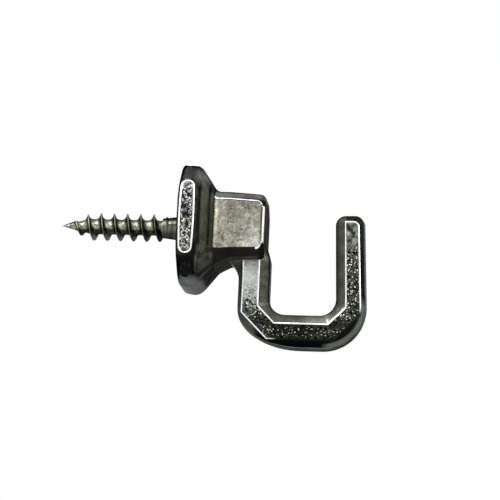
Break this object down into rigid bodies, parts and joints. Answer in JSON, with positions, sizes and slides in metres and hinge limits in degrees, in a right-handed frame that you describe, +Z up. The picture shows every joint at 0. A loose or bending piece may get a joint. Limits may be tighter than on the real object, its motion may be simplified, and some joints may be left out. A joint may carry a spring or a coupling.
{
  "type": "screw hook",
  "caption": "Small screw hook: a plated die-cast square rosette and chamfered boss carry an upward J hook, and a steel wood screw stands out of the wall face.",
  "frame": {"origin": "centre of the rosette's wall face, on the screw's axis", "axes": "+X out of the wall, away from the screw's point; +Z up, the way the hook's tip points; +Y across the hook"},
  "size_m": [0.0464, 0.0184, 0.027],
  "materials": {
    "plated_zinc": "dark nickel plate, polished bevels, pitted flats",
    "steel": "rolled thread, zinc plated"
  },
  "bodies": {
    "root": {"hook_body": "plated_zinc", "wood_screw": "steel"}
  },
  "joints": []
}
